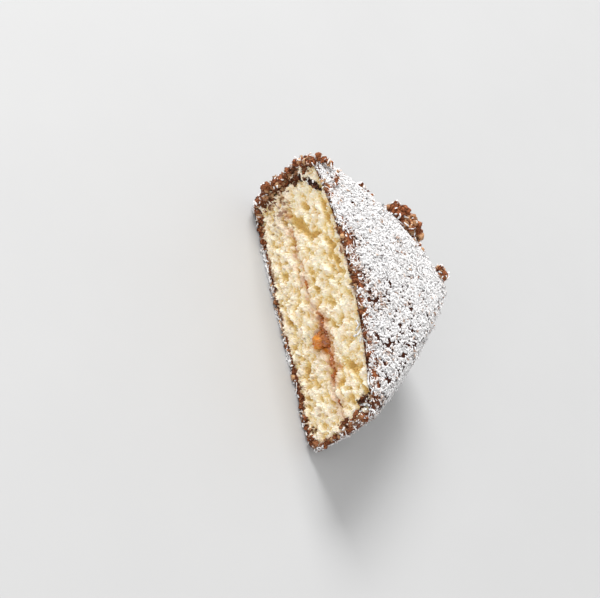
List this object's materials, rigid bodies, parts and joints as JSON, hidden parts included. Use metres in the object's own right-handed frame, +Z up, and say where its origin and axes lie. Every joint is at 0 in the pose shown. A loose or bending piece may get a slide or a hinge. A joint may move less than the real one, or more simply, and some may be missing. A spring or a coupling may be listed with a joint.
{
  "type": "lamington cake half",
  "caption": "Half of a lamington cut corner to corner: layers of yellow sponge with jam between, in a thin chocolate coat rolled in coconut.",
  "frame": {"origin": "on the surface the half rests on, under the middle of its bounding box", "axes": "+X along the diagonal cut, +Z up through the layers, the cut face looks to -Y and the right-angled corner of the cake points to +Y"},
  "size_m": [0.0966, 0.0506, 0.0435],
  "materials": {
    "coconut_coat": "white desiccated coconut over thin chocolate icing that shows brown between the flakes",
    "sponge": "open, torn, pale yellow sponge crumb",
    "jam": "thin glossy apricot jam soaked into the crumb"
  },
  "bodies": {
    "root": {"chocolate_icing": "coconut_coat", "sponge_lower": "sponge", "jam_filling": "jam", "sponge_upper": "sponge"}
  },
  "joints": []
}
